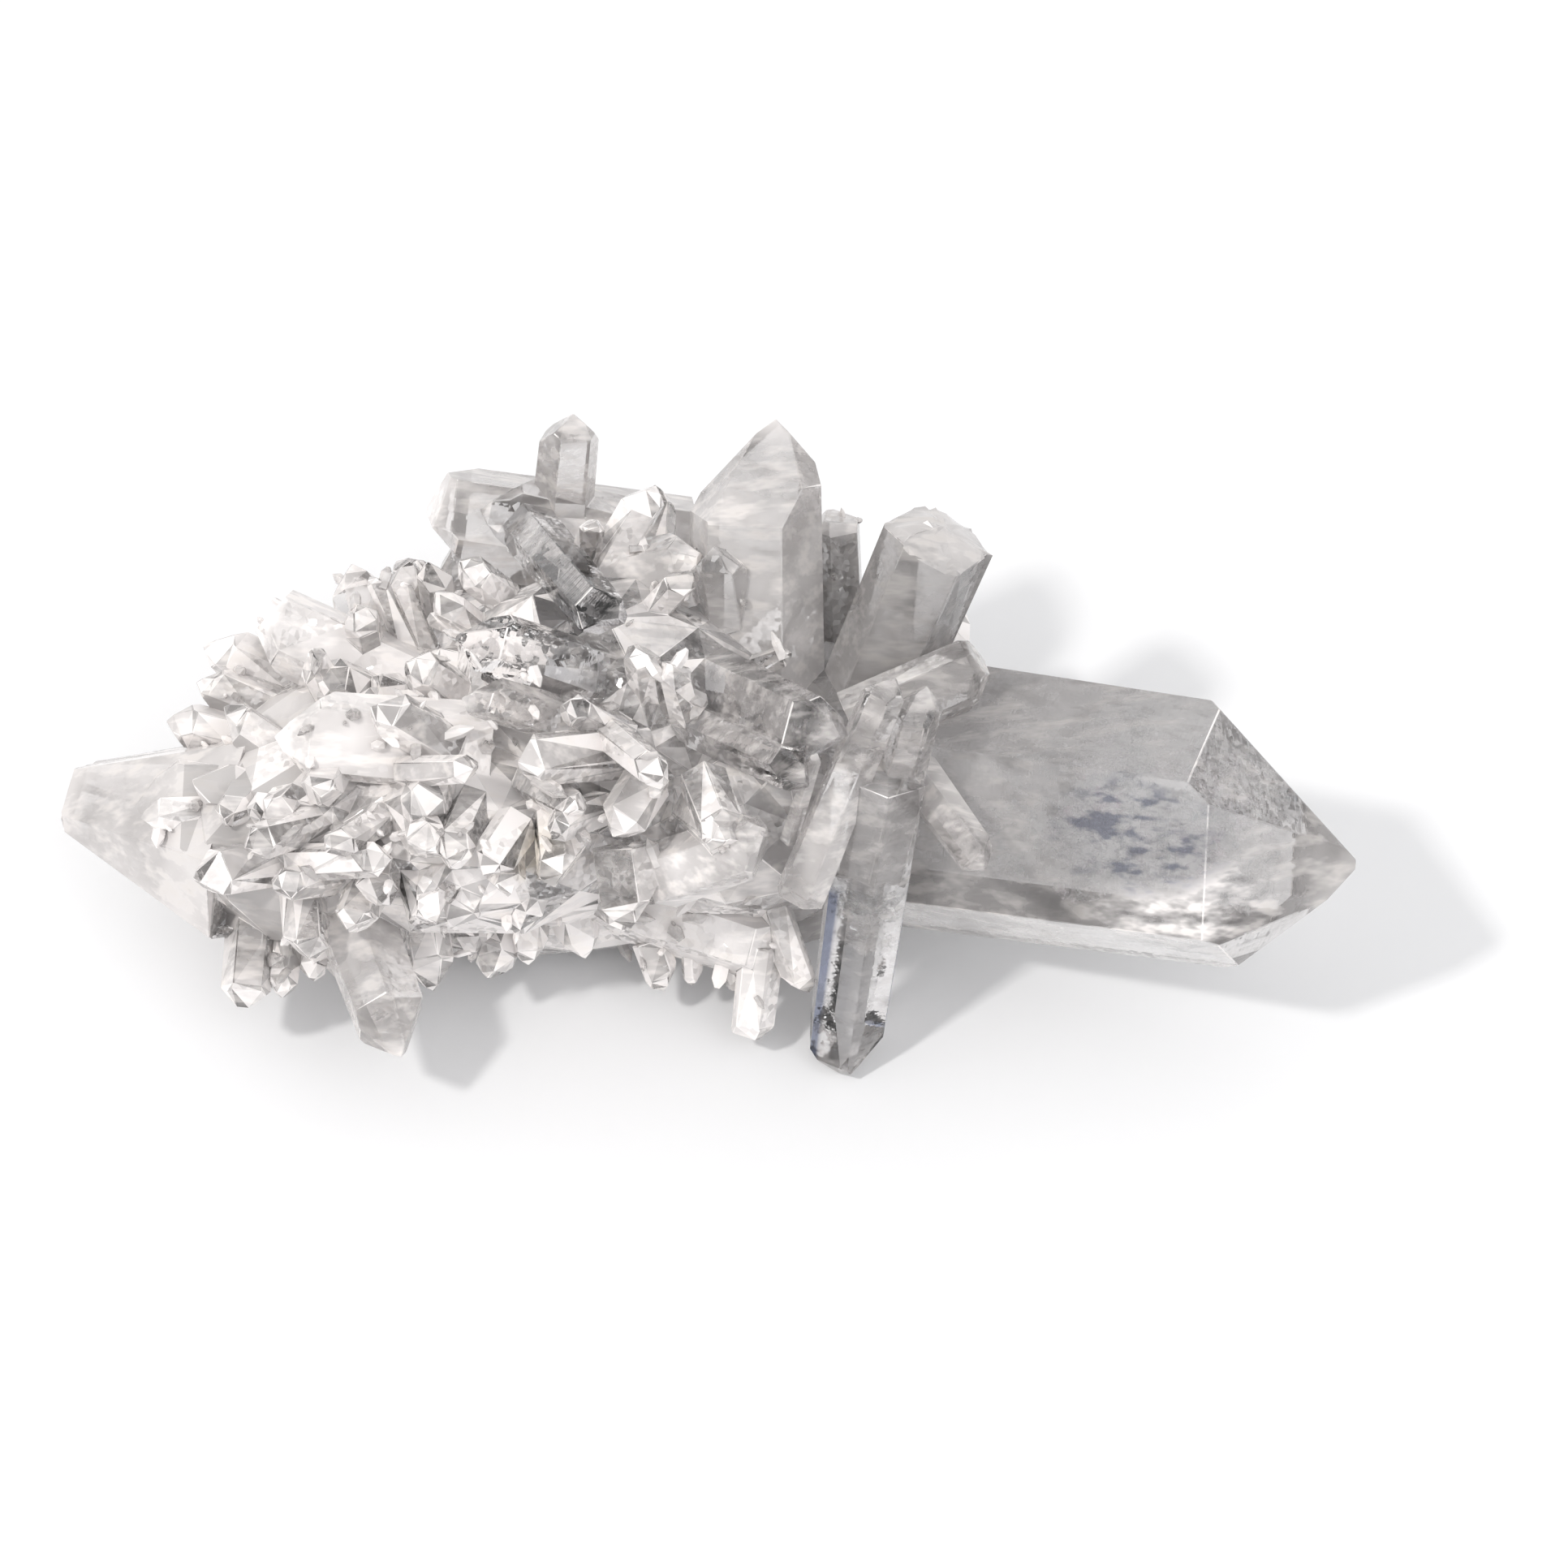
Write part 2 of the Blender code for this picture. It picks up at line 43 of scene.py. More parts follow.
# The stone: glass, milk, a painted deep blue shade where its clearest places show the shade beneath
# them, iron stain and healed cracks
QUARTZ_IOR = 1.544
GLASS_ROUGHNESS = 0.03
MILK_ROUGHNESS = 0.14
GLASS_TINT = (1.0, 0.985, 0.98)
MILK_DARK = (0.86, 0.815, 0.80, 1.0)
MILK_LIGHT = (0.945, 0.91, 0.90, 1.0)
SHADE_BLUE = (0.06, 0.08, 0.16, 1.0)
RUST = (0.78, 0.66, 0.46, 1.0)
ABSORPTION = {"Color": (0.70, 0.69, 0.72, 1.0), "Density": 9.0}
CRACK_WHITE = (0.93, 0.94, 0.96, 1.0)
CRACK_FILM = 480.0

# Its grain: noise per millimetre, glinting facets and growth lines
CLOUD_SCALE = 0.13
STREAK_SCALE = 0.7
STREAK_DRAW = (0.28, 1.0, 1.0)
LINE_SCALE = 3.0
FACET_SIZE = 0.6
FACET_TILT = 0.7
LINE_TILT = 0.25

# Millimetres that an edge wears, and the room it needs around it; clearness of the crowd
EDGE_WEAR = 0.09
EDGE_ROOM = 0.45
CROWD_CLEAR = (0.0, 0.75)

# How near to square with a crystal's axis the normal of a side is, and how near along it an end's
SIDE_LEAN = 0.12
END_LEAN = 0.3


def seen(right, up, height):
    """Position in millimetres, in the part's frame, of a point that the viewer sees there."""
    back = up / math.sin(VIEW_TILT) - (height - LAYOUT_HEIGHT) / math.tan(VIEW_TILT)
    return Vector((right, back, height)) + FRAME_SHIFT


# The larger crystals: root, tip, width, clearness from milky to clear, striations and paleness
CRYSTALS = {
    "main_point": (seen(5.0, -2.7, 15.0), seen(59.6, -10.3, 25.4), 22.8, 0.62, 1.0, 0.52),
    "left_point": (seen(-38.0, -8.4, 16.0), seen(-59.2, -4.7, 15.0), 19.0, 0.26, 0.5, 0.56),
    "leaning": (seen(16.6, -3.0, 33.0), seen(12.9, -30.4, -0.3), 8.3, 0.76, 0.7, 0.6),
    "leaning_top": (seen(15.3, -12.5, 20.0), seen(19.9, 5.0, 40.5), 5.6, 0.6, 0.6, 0.9),
    "blade": (seen(8.8, -14.4, 22.0), seen(17.2, 6.0, 43.0), 5.2, 0.65, 0.6, 0.95),
    "thin_arm": (seen(7.9, -9.0, 25.0), seen(10.4, -1.0, 37.0), 1.9, 0.6, 0.3, 1.0),
    "side_needle": (seen(18.0, -0.8, 27.0), seen(26.1, -12.0, 28.5), 4.4, 0.58, 0.5, 1.0),
    "shoulder": (seen(13.6, 1.6, 29.0), seen(26.0, 7.2, 33.0), 6.4, 0.55, 0.3, 0.75),
    "tall": (seen(4.6, 4.5, 24.0), seen(4.6, 29.8, 45.0), 12.6, 0.45, 0.6, 0.7),
    "tall_child": (seen(2.2, 10.0, 30.0), seen(0.9, 18.6, 41.0), 5.8, 0.55, 0.4, 0.9),
    "stub": (seen(12.4, 6.0, 20.0), seen(11.9, 21.2, 35.0), 5.6, 0.3, 0.3, 0.6),
    "block": (seen(15.6, 3.6, 24.0), seen(22.0, 19.4, 41.0), 10.8, 0.4, 0.5, 0.46),
    "back_left": (seen(-2.0, 18.0, 22.0), seen(-26.6, 21.6, 27.0), 10.6, 0.45, 0.5, 0.9),
    "back_left_child": (seen(-8.4, 19.8, 26.0), seen(-21.4, 22.8, 31.5), 7.2, 0.7, 0.4, 0.95),
    "upright": (seen(-13.8, 20.4, 27.0), seen(-12.5, 31.2, 40.5), 6.2, 0.6, 0.3, 0.9),
    "clear_slant": (seen(-16.9, 20.4, 29.5), seen(-8.7, 11.0, 45.0), 6.2, 0.95, 0.4, 1.0),
    "broad_face": (seen(-12.0, 14.0, 30.0), seen(-0.4, 16.4, 37.0), 8.0, 0.4, 0.3, 0.9),
    "fan_top": (seen(-2.0, 7.0, 28.0), seen(11.8, 0.2, 39.5), 7.4, 0.74, 0.7, 1.0),
    "fan_low": (seen(-2.5, 2.6, 29.0), seen(9.4, -3.1, 38.0), 5.0, 0.74, 0.7, 1.0),
    "sparkling": (seen(-3.6, -12.2, 22.0), seen(6.8, -8.6, 33.0), 6.6, 0.5, 0.3, 1.0),
    "pale_left": (seen(-28.0, 4.8, 23.0), seen(-41.6, 11.2, 28.0), 8.4, 0.3, 0.4, 1.0),
    "flat_left": (seen(-19.8, -0.4, 29.0), seen(-39.6, 1.2, 32.0), 8.8, 0.25, 0.4, 1.0),
    "low_left": (seen(-33.6, -14.4, 15.0), seen(-27.9, -28.6, 11.5), 7.4, 0.6, 0.5, 1.0),
    "middle_left": (seen(-6.6, 4.6, 32.0), seen(-22.4, 9.9, 41.0), 6.6, 0.8, 0.5, 1.0),
    "middle_low": (seen(-9.6, 0.8, 31.0), seen(-21.9, 4.6, 38.0), 4.7, 0.6, 0.5, 1.0),
    "low_long": (seen(-12.6, -12.8, 11.0), seen(9.8, -20.0, 9.0), 8.6, 0.2, 0.7, 0.9),
}
# Those with smooth faces: no tiny crystals stand on them and they hardly glint
CLEAN = ("main_point", "left_point", "leaning", "leaning_top", "blade", "thin_arm", "side_needle",
         "tall", "block", "back_left", "upright", "clear_slant", "fan_top", "fan_low", "low_left")

# Faces with a painted shade, a deep blue strip along one edge: crystal, direction they face, how
# much
SHADE_STRIP_FACES = (
    ("leaning", -RIGHT * 0.4 - UP * 0.5 + NEAR * 0.7, 0.95),
    ("clear_slant", -RIGHT * 0.7 + UP * 0.6 + NEAR * 0.4, 0.7),
)

# How much paler the end faces of a crystal are, and the painted highlight on the low front face of
# the main point
END_PALER = 0.2
LOW_FACE_HIGHLIGHT = (-UP * 0.85 + NEAR * 0.5, 0.4)

# Soft places in the stone, middle and half sizes: the main point's clear window, which also holds
# painted shade, a painted reflection as a bright patch below it, and the iron stain
WINDOW = (tuple(seen(40.0, -8.4, 28.0)), (9.6, 7.0, 6.0))
PAINTED_GLEAM = (tuple(seen(41.0, -14.6, 26.0)), (15.0, 4.6, 7.0))
STAIN = (tuple(seen(-14.7, -10.4, 26.0)), (3.4, 3.0, 4.0))

# Crystals with a snapped end and the seed of its roughness; where tiny crystals stand, how many are
# tried, and the narrowing and rise of each kind's end; healed cracks in each crystal; and where
# along the leaning one its growth bands lie
BROKEN_ENDS = (("block", 3), ("left_point", 5))
DRUSE_LOWEST = 4.0
DRUSE_REACH = (-52.0, 19.0)
DRUSE_COUNT = 260
TINY_ENDS = ((0.1, 0.55), (0.35, 0.42), (0.2, 0.7))
VEILS = {"main_point": 9, "left_point": 3, "tall": 3, "leaning": 2, "block": 2}
GROWTH_BANDS = (0.385, 0.415, 0.45)

# The floor, the white sky, each lamp's direction, distance, size, watts and colour, and how often
# light may bounce, which keeps the render short
FLOOR_GREY = (0.86, 0.86, 0.87, 1.0)
SKY = 0.92
LAMPS = {
    "key": ((-0.58, -0.435, 1.0), 1.2, 0.10, 5.4, (1.0, 0.985, 0.96)),
    "fill": ((0.6, -0.9, 1.1), 1.4, 0.9, 2.5, (0.95, 0.97, 1.0)),
}
BOUNCES = {"max_bounces": 7, "diffuse_bounces": 2, "glossy_bounces": 3}


# Tools for meshes

def let_go():
    """Leave edit mode and select nothing."""
    if bpy.context.object and bpy.context.object.mode != "OBJECT":
        bpy.ops.object.mode_set(mode="OBJECT")
    bpy.ops.object.select_all(action="DESELECT")


def take(thing):
    """Make one object the only selected and active one."""
    let_go()
    thing.select_set(True)
    bpy.context.view_layer.objects.active = thing


def pick_faces(thing, wanted):
    """In edit mode, select the faces for which wanted(face) is true."""
    bpy.ops.mesh.select_all(action="DESELECT")
    bpy.ops.object.mode_set(mode="OBJECT")
    for face in thing.data.polygons:
        face.select = wanted(face)
    bpy.ops.object.mode_set(mode="EDIT")


def join_all(things, name):
    """Join several objects in one and give it a name."""
    let_go()
    for thing in things:
        thing.select_set(True)
    bpy.context.view_layer.objects.active = things[0]
    bpy.ops.object.join()
    joined = bpy.context.object
    joined.name = name
    joined.data.name = name
    return joined


# The crystals that the part holds

def owner_of(point, normal):
    """The larger crystal a face belongs to: misfit, name and how far along it lies, or None."""
    best = None
    for name, (root, tip, width, *_looks) in CRYSTALS.items():
        axis = (tip - root).normalized()
        along = (point - root).dot(axis)
        length = (tip - root).length
        out = point - root - axis * along
        if along < -0.1 * length or along > length + 0.5 or out.length > 0.66 * width:
            continue
        lean = normal.dot(axis)
        if abs(lean) > SIDE_LEAN and lean < 0.35:
            continue
        fit = abs(out.dot(normal) - 0.45 * width) / width
        if best is None or fit < best[0]:
            best = (fit, name, along)
    return best


def make_body(frame):
    """Copy the part's surface, merge it, roughen the snapped ends and wear the edges."""
    node = frame["nodes"]["quartz_cluster"]
    body = bpy.data.objects.new("crystals", node.data.copy())
    bpy.context.scene.collection.objects.link(body)
    body.data.materials.clear()
    take(body)
    bpy.ops.object.mode_set(mode="EDIT")
    bpy.ops.mesh.select_all(action="SELECT")
    bpy.ops.mesh.remove_doubles(threshold=0.00001)
    bpy.ops.mesh.normals_make_consistent(inside=False)
    bpy.ops.mesh.dissolve_limited(angle_limit=math.radians(0.6))
    bpy.ops.object.mode_set(mode="OBJECT")
    for name, seed in BROKEN_ENDS:
        break_end(body, name, seed)
    mark_worn_edges(body)
    worn = body.modifiers.new("worn_edges", "BEVEL")
    worn.width = EDGE_WEAR * MM
    worn.segments = 1
    worn.limit_method = "WEIGHT"
    worn.use_clamp_overlap = False
    bpy.ops.object.modifier_apply(modifier="worn_edges")
    bpy.ops.object.mode_set(mode="EDIT")
    bpy.ops.mesh.select_all(action="SELECT")
    bpy.ops.mesh.quads_convert_to_tris()
    bpy.ops.object.mode_set(mode="OBJECT")
    bpy.ops.object.shade_flat()
    return body


def break_end(body, name, seed):
    """Make the blunt end of one crystal ragged, as where it snapped off."""
    root, tip, *_looks = CRYSTALS[name]
    axis = (tip - root).normalized()

    def snapped(face):
        found = owner_of(face.center / MM, face.normal)
        at_end = bool(found) and found[1] == name and found[2] > 0.72 * (tip - root).length
        return at_end and face.normal.dot(axis) > 0.6

    take(body)
    bpy.ops.object.mode_set(mode="EDIT")
    pick_faces(body, snapped)
    bpy.ops.mesh.quads_convert_to_tris()
    bpy.ops.mesh.subdivide(number_cuts=6, fractal=4.0, fractal_along_normal=0.3, seed=seed)
    bpy.ops.object.mode_set(mode="OBJECT")


def gap(point, start, end):
    """Distance from a point to the straight edge between two others."""
    near, share = intersect_point_line(point, start, end)
    if share < 0.0:
        near = start
    if share > 1.0:
        near = end
    return (point - near).length


def measure_room(mesh):
    """For every corner and edge, the least distance to the rest of the faces that meet there."""
    corner_room = [1.0] * len(mesh.vertices)
    edge_room = {}
    for face in mesh.polygons:
        corners = list(face.vertices)
        for pair in face.edge_keys:
            start, end = (mesh.vertices[i].co for i in pair)
            for corner in corners:
                if corner not in pair:
                    away = gap(mesh.vertices[corner].co, start, end)
                    corner_room[corner] = min(corner_room[corner], away)
                    edge_room[pair] = min(edge_room.get(pair, 1.0), away)
    return corner_room, edge_room


def mark_worn_edges(body):
    """Give a weight to the sharp edges with room around them, which wear and catch the light."""
    mesh = body.data
    beside = {}
    for face in mesh.polygons:
        for pair in face.edge_keys:
            beside.setdefault(pair, []).append(face.normal)
    corner_room, edge_room = measure_room(mesh)
    values = []
    for edge in mesh.edges:
        ends = [mesh.vertices[i].co for i in edge.vertices]
        normals = beside[edge.key]
        rooms = [edge_room[edge.key], (ends[0] - ends[1]).length]
        room = min(rooms + [corner_room[i] for i in edge.vertices])
        sharp = len(normals) == 2 and normals[0].angle(normals[1], 0.0) > math.radians(18.0)
        off_ground = max(ends[0].z, ends[1].z) > 0.0002
        values.append(1.0 if room > EDGE_ROOM * MM and sharp and off_ground else 0.0)
    weight = mesh.attributes.new("bevel_weight_edge", "FLOAT", "EDGE")
    weight.data.foreach_set("value", values)


def note(mesh, name, values, domain="FACE"):
    """Store one number on each face, or on each corner of a face."""
    made = mesh.attributes.new(name, "FLOAT", domain)
    made.data.foreach_set("value", values)


def note_axes(mesh, axes):
    """Store on each face the direction in which its growth lines follow each other."""
    made = mesh.attributes.new("axis", "FLOAT_VECTOR", "FACE")
    made.data.foreach_set("vector", [number for axis in axes for number in axis])


def how_shaded(name, normal):
    """How much of the painted deep blue shade strip a face has."""
    for wanted, direction, share in SHADE_STRIP_FACES:
        if name == wanted and normal.dot(direction.normalized()) > 0.9:
            return share
    return 0.0


def how_pale(name, normal, axis, tone):
    """How pale a face is: the ends are paler, and the low front of the main point gets a painted
    highlight.
    """
    facing, more = LOW_FACE_HIGHLIGHT
    lean = normal.dot(axis)
    low = normal.dot(facing.normalized()) > 0.8
    # Painted highlight on the main point's low front face
    if name == "main_point" and low and abs(lean) < SIDE_LEAN:
        return min(1.0, tone + more)
    return min(1.0, tone + (END_PALER if lean > END_LEAN else 0.0))


def note_faces(thing, rng):
    """Store on each face how clear, pale and glinting it is, and its place on its crystal."""
    mesh = thing.data
    clear_values = []
    pale_values = []
    glint_values = []
    shade_values = []
    axes = []
    along_values = [0.0] * len(mesh.loops)
    part_values = [0.5] * len(mesh.loops)
    across_values = [0.0] * len(mesh.loops)
    for face in mesh.polygons:
        point = face.center / MM
        found = owner_of(point, face.normal)
        patch = min(1.0, max(0.0, (noise.noise(point * 0.3) * 0.5 + 0.05) * 8.0))
        if found is None:
            clear_values.append(CROWD_CLEAR[0] + CROWD_CLEAR[1] * rng.random())
            pale_values.append(1.0)
            glint_values.append(patch)
            shade_values.append(0.0)
            axes.append(Vector())
            continue
        root, tip, width, clear, strength, tone = CRYSTALS[found[1]]
        axis = (tip - root).normalized()
        clear_values.append(clear)
        pale_values.append(how_pale(found[1], face.normal, axis, tone))
        glint_values.append(patch * (0.12 if found[1] in CLEAN else 1.0))
        # Painted shade: how much of the deep blue strip this face gets
        shade_values.append(how_shaded(found[1], face.normal))
        axes.append(axis * strength if abs(face.normal.dot(axis)) < SIDE_LEAN else Vector())
        side = NEAR.cross(axis).normalized()
        side = side if side.x > 0.0 else -side
        for loop in face.loop_indices:
            corner = mesh.vertices[mesh.loops[loop].vertex_index].co / MM - root
            along_values[loop] = corner.dot(axis)
            part_values[loop] = corner.dot(axis) / (tip - root).length
            across_values[loop] = corner.dot(side) * 2.0 / width
    note(mesh, "clearness", clear_values)
    note(mesh, "pale", pale_values)
    note(mesh, "glint", glint_values)
    note(mesh, "painted_shade", shade_values)
    note_axes(mesh, axes)
    note(mesh, "along", along_values, "CORNER")
    note(mesh, "part", part_values, "CORNER")
    note(mesh, "across", across_values, "CORNER")


# Tiny crystals over the mass

def model_tiny(name, top_scale, rise):
    """Model one tiny crystal: a six-sided prism with a drawn-in end."""
    let_go()
    bpy.ops.mesh.primitive_cylinder_add(vertices=6, radius=0.5, depth=1.2, end_fill_type="NGON")
    tiny = bpy.context.object
    tiny.name = name
    bpy.ops.object.mode_set(mode="EDIT")
    pick_faces(tiny, lambda face: face.normal.z > 0.9)
    bpy.ops.mesh.extrude_region_move(TRANSFORM_OT_translate={"value": (0.0, 0.0, rise)})
    bpy.ops.transform.resize(value=(top_scale, top_scale * 0.45, 1.0))
    bpy.ops.object.mode_set(mode="OBJECT")
    return tiny


def make_druse(body, rng):
    """Scatter tiny crystals over the crowded part of the mass, standing out of its faces."""
    kinds = [model_tiny("tiny", top, rise) for top, rise in TINY_ENDS]
    mesh = body.data
    spots = []
    weights = []
    for face in mesh.polygons:
        point = face.center / MM
        found = owner_of(point, face.normal)
        if point.z < DRUSE_LOWEST or not DRUSE_REACH[0] <= point.x <= DRUSE_REACH[1]:
            continue
        if found and found[1] in CLEAN:
            continue
        spots.append(face)
        weights.append(face.area * (1.0 if face.normal.dot(NEAR) > -0.1 else 0.35))
    made = []
    for face in rng.choices(spots, weights, k=DRUSE_COUNT):
        corners = [mesh.vertices[i].co for i in face.vertices]
        a = rng.random()
        b = rng.random() * (1.0 - a)
        spot = corners[0] + (corners[1] - corners[0]) * a + (corners[2] - corners[0]) * b
        lean = Vector([rng.gauss(0.0, 0.55) for _ in range(3)])
        axis = (face.normal + lean).normalized()
        if axis.dot(face.normal) < 0.15:
            continue
        wide = rng.uniform(0.7, 1.0) * MM * rng.choice((0.6, 0.8, 1.1, 1.6))
        tall = wide * rng.uniform(0.7, 1.5)
        turn = axis.to_track_quat("Z", "Y").to_matrix().to_4x4()
        spin = Matrix.Rotation(rng.uniform(0.0, math.tau), 4, "Z")
        size = Matrix.Diagonal((wide, wide * rng.uniform(0.7, 1.0), tall, 1.0))
        copy = rng.choice(kinds).copy()
        copy.data = copy.data.copy()
        bpy.context.scene.collection.objects.link(copy)
        copy.data.transform(Matrix.Translation(spot) @ turn @ spin @ size)
        shown = {"clearness": rng.uniform(0.1, 0.9), "glint": rng.choice((0.0, 0.6)), "pale": 1.0}
        for key, value in shown.items():
            note(copy.data, key, [value] * len(copy.data.polygons))
        made.append(copy)
    druse = join_all(made, "tiny_crystals")
    for kind in kinds:
        bpy.data.objects.remove(kind, do_unlink=True)
    return druse


# Veils inside the crystals

def model_veil(middle, facing, wide, seed):
    """Model one thin wavy sheet with an uneven rim."""
    let_go()
    bpy.ops.mesh.primitive_circle_add(vertices=9, radius=0.5, fill_type="TRIFAN")
    sheet = bpy.context.object
    bpy.ops.object.mode_set(mode="EDIT")
    bpy.ops.mesh.select_all(action="SELECT")
    bpy.ops.mesh.subdivide(number_cuts=1)
    bpy.ops.transform.vertex_random(offset=0.09, uniform=0.7, normal=0.3, seed=seed)
    bpy.ops.object.mode_set(mode="OBJECT")
    rounding = sheet.modifiers.new("rounding", "SUBSURF")
    rounding.levels = 1
    bpy.ops.object.modifier_apply(modifier="rounding")
    turn = facing.normalized().to_track_quat("Z", "Y").to_matrix().to_4x4()
    size = Matrix.Diagonal((wide * MM, wide * MM, wide * MM, 1.0))
    sheet.data.transform(Matrix.Translation(middle * MM) @ turn @ size)
    return sheet


def make_veils(rng):
    """Thin wavy healed cracks in the larger crystals, and growth bands across the leaning one."""
    made = []
    for name, count in VEILS.items():
        root, tip, width, *_looks = CRYSTALS[name]
        axis = (tip - root).normalized()
        for number in range(count):
            along = rng.uniform(0.35, 0.86) * (tip - root).length
            side = Vector([rng.uniform(-1.0, 1.0) for _ in range(3)]) * width * 0.16
            facing = axis * rng.uniform(-0.5, 0.5) + NEAR + RIGHT * rng.uniform(-0.8, 0.8)
            wide = width * rng.uniform(0.26, 0.46)
            seed = 10 * len(name) + number
            made.append(model_veil(root + axis * along + side, facing, wide, seed))
    root, tip, width, *_looks = CRYSTALS["leaning"]
    for number, share in enumerate(GROWTH_BANDS):
        made.append(model_veil(root + (tip - root) * share, tip - root, width * 0.8, number))
    return join_all(made, "inner_veils")


# Materials

class Tone:
    """A socket of a material's nodes that can be used in plain arithmetic."""

    def __init__(self, shop, socket):
        self.shop = shop
        self.socket = socket

    def _math(self, operation, first, second):
        return self.shop.node("ShaderNodeMath", {"operation": operation}, {0: first, 1: second})

    def __add__(self, other):
        return self._math("ADD", self, other)

    def __radd__(self, other):
        return self._math("ADD", other, self)

    def __sub__(self, other):
        return self._math("SUBTRACT", self, other)

    def __rsub__(self, other):
        return self._math("SUBTRACT", other, self)

    def __mul__(self, other):
        return self._math("MULTIPLY", self, other)

    def __rmul__(self, other):
        return self._math("MULTIPLY", other, self)


class Finish:
    """One material and the nodes in it."""

    def __init__(self, name):
        self.material = bpy.data.materials.new(name)
        self.material.use_nodes = True
        self.tree = self.material.node_tree
        self.tree.nodes.clear()
        self.output = self.tree.nodes.new("ShaderNodeOutputMaterial")

    def node(self, kind, settings=None, values=None, output=0):
        """Add a node, set it up, fill its sockets, and give back one of its outputs."""
        made = self.tree.nodes.new(kind)
        for key, value in (settings or {}).items():
            setattr(made, key, value)
        for key, value in (values or {}).items():
            if isinstance(value, Tone):
                self.tree.links.new(value.socket, made.inputs[key])
            else:
                made.inputs[key].default_value = value
        return Tone(self, made.outputs[output])

    def place(self):
        """Object coordinates in millimetres."""
        return self.vector("SCALE", self.node("ShaderNodeTexCoord", output="Object"), 1.0 / MM)

    def vector(self, operation, first, second=None):
        """Vector arithmetic on one or two tones."""
        values = {0: first}
        if second is not None:
            values["Scale" if operation == "SCALE" else 1] = second
        return self.node("ShaderNodeVectorMath", {"operation": operation}, values, 0)

    def noise(self, where, scale, detail=4.0, rough=0.55, bend=0.0):
        """A cloudy tone with so many bumps to the millimetre."""
        values = {"Vector": where, "Scale": scale, "Detail": detail, "Roughness": rough}
        values["Distortion"] = bend
        return self.node("ShaderNodeTexNoise", None, values, "Fac")

    def spread(self, tone, low, high, to_low=0.0, to_high=1.0):
        """Stretch a tone between two values and clamp it."""
        values = {0: tone, 1: low, 2: high, 3: to_low, 4: to_high}
        return self.node("ShaderNodeMapRange", {"clamp": True}, values)

    def blend(self, share, first, second):
        """Mix two colours by a share."""
        values = {0: share, 6: first, 7: second}
        return self.node("ShaderNodeMix", {"data_type": "RGBA"}, values, 2)

    def named(self, name):
        """A number that is stored on the faces or their corners."""
        return self.node("ShaderNodeAttribute", {"attribute_name": name}, None, "Fac")

    def blot(self, where, middle, sizes):
        """One inside an ellipsoid in the crystal, falling softly to zero outside it."""
        offset = self.vector("SUBTRACT", where, middle)
        scaled = self.vector("MULTIPLY", offset, tuple(1.0 / size for size in sizes))
        reach = self.node("ShaderNodeVectorMath", {"operation": "LENGTH"}, {0: scaled}, "Value")
        return self.spread(reach, 0.55, 1.15, 1.0, 0.0)

    def finish(self, surface, volume=None):
        """Join the surface, and the inside if there is one, to the material's output."""
        self.tree.links.new(surface.socket, self.output.inputs["Surface"])
        if volume:
            self.tree.links.new(volume.socket, self.output.inputs["Volume"])
        return self.material


def tilt(look, cells):
    """The face's normal, tilted facet by facet where it glints and line by line on its sides."""
    lean = look.vector("SUBTRACT", cells, (0.5, 0.5, 0.5))
    lean = look.vector("SCALE", lean, look.named("glint") * FACET_TILT)
    steps = {"W": look.named("along"), "Scale": LINE_SCALE, "Detail": 2.0, "Roughness": 0.75}
    steps = look.node("ShaderNodeTexNoise", {"noise_dimensions": "1D"}, steps, "Fac")
    axis = look.node("ShaderNodeAttribute", {"attribute_name": "axis"}, None, "Vector")
    lines = look.vector("SCALE", axis, (steps - 0.5) * LINE_TILT)
    normal = look.node("ShaderNodeNewGeometry", None, None, "Normal")
    tilted = look.vector("ADD", look.vector("ADD", normal, lean), lines)
    return look.vector("NORMALIZE", tilted)


